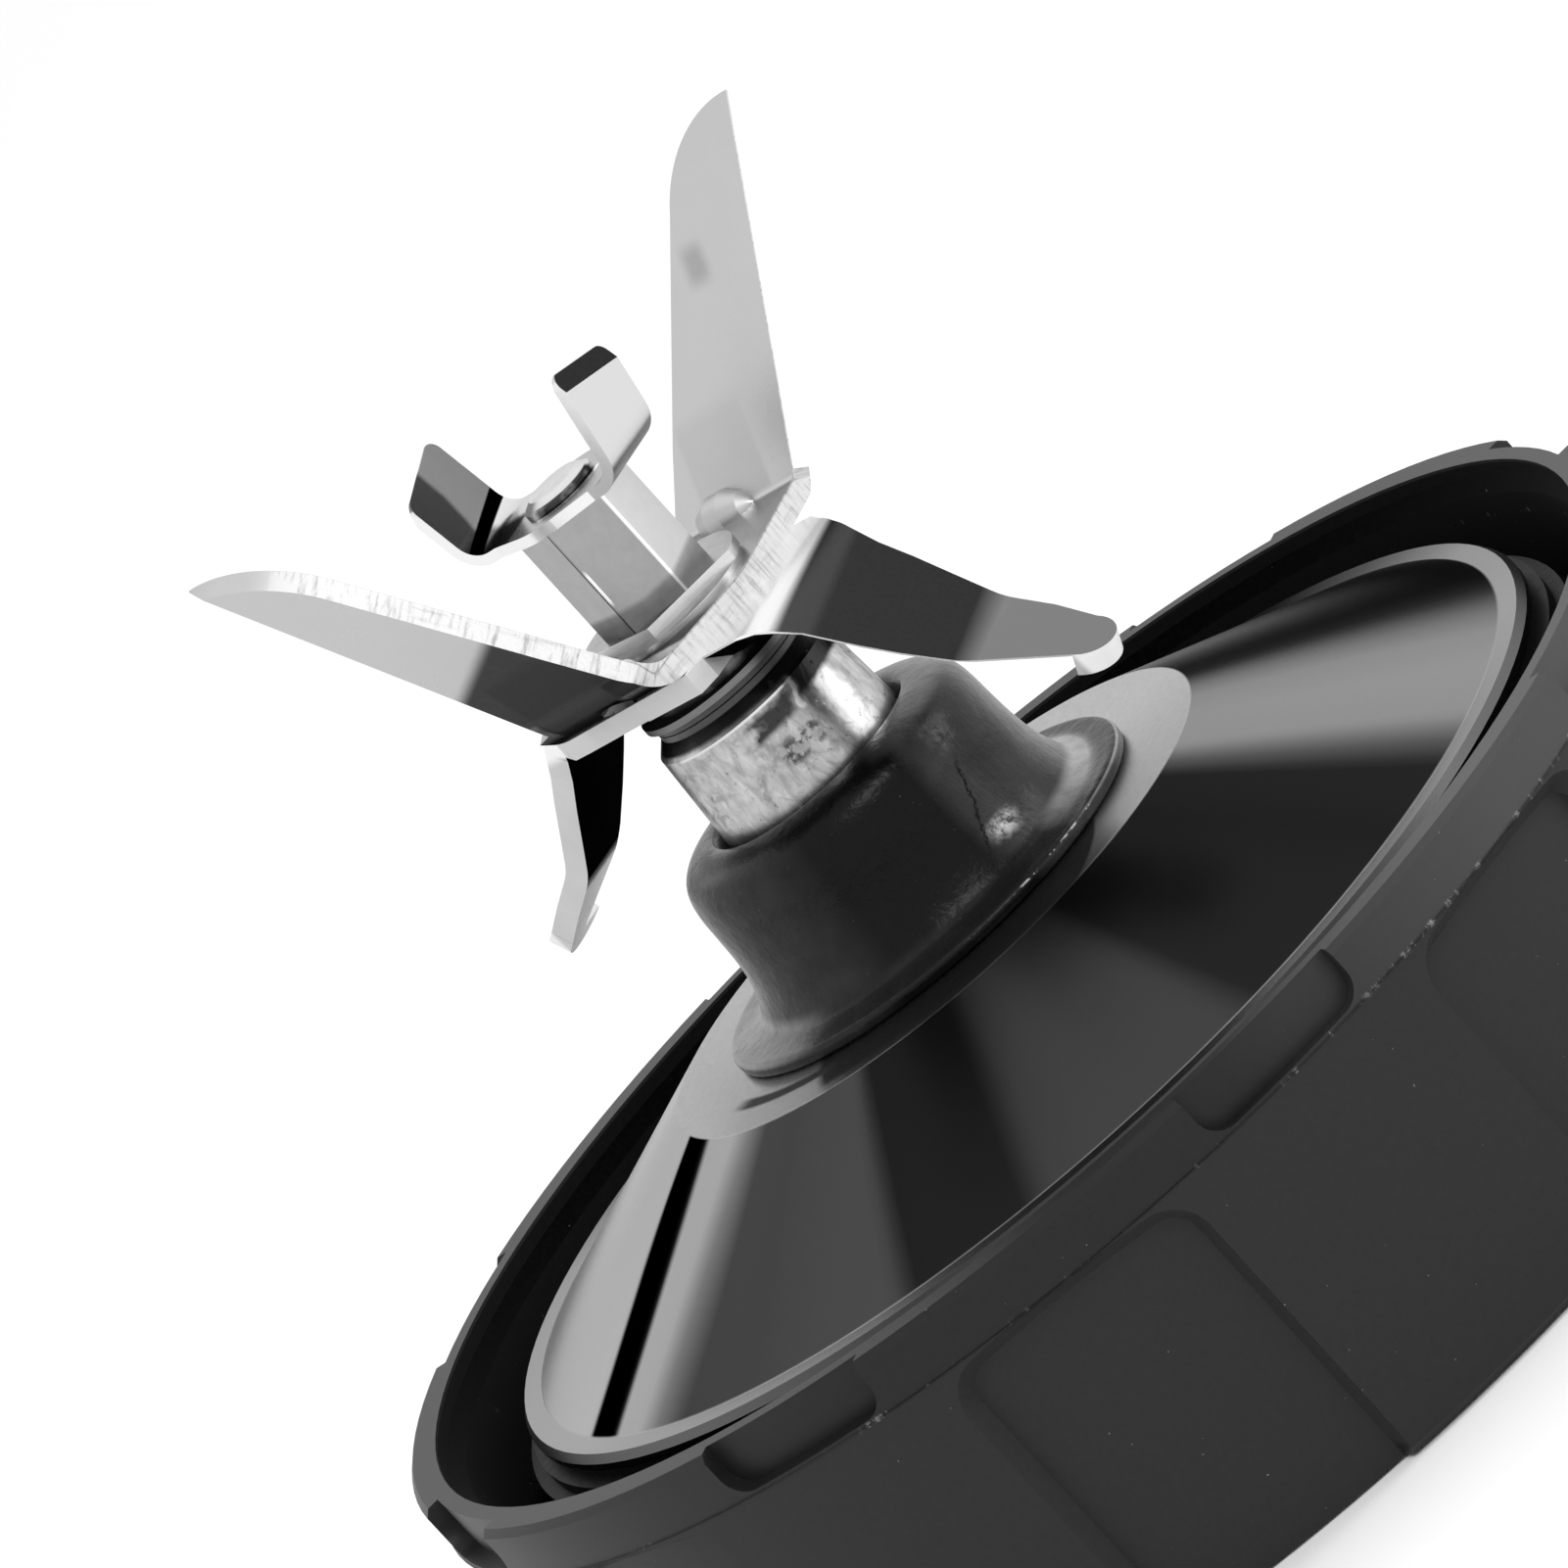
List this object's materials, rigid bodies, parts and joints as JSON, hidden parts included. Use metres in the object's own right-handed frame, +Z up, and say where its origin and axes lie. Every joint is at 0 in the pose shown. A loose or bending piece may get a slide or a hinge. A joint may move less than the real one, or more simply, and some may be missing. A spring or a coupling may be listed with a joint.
{
  "type": "blender blade assembly",
  "caption": "Blender blade unit: bent cutting blades on a sealed bearing over a steel dish, in a notched threaded collar that screws onto the jar and takes the motor's drive from below.",
  "frame": {"origin": "on the shaft axis, level with the collar's lower edge", "axes": "+Z up along the shaft; +X along the main blade, towards its longer-set wing; +Y to the left of +X seen from above"},
  "size_m": [0.1086, 0.1086, 0.0879],
  "materials": {
    "collar_plastic": "satin moulded black",
    "dish_steel": "mirror-polished stainless steel",
    "rubber": "glossy black",
    "cast_housing": "worn and pitted",
    "bronze": "sintered",
    "plain_steel": "turned",
    "dark_washer": "dark low-friction disc",
    "blade_steel": "polished faces, rough sheared edges",
    "coupling_plastic": "moulded black"
  },
  "bodies": {
    "base": {"collar": "collar_plastic", "dish": "dish_steel", "dish_gasket": "rubber", "boot": "rubber", "bearing_housing": "cast_housing", "upper_bushing": "bronze", "lower_bushing": "bronze", "shaft_seal": "rubber", "housing_washer": "plain_steel", "housing_nut": "plain_steel", "wear_washer": "dark_washer"},
    "rotor": {"drive_shaft": "plain_steel", "thrust_washer": "dark_washer", "seat_washer": "plain_steel", "lower_blade": "blade_steel", "main_blade": "blade_steel", "lock_washer": "plain_steel", "flange_washer": "plain_steel", "hex_spacer": "plain_steel", "top_blade": "blade_steel", "drive_washer": "dark_washer", "retaining_clip": "plain_steel", "drive_coupling": "coupling_plastic", "coupling_pin": "plain_steel"}
  },
  "joints": [
    {"name": "rotor_spin", "type": "hinge", "parent": "base", "child": "rotor", "pos_m": [0, 0, 0.0578], "axis": [0, 0, 1], "continuous": true}
  ]
}
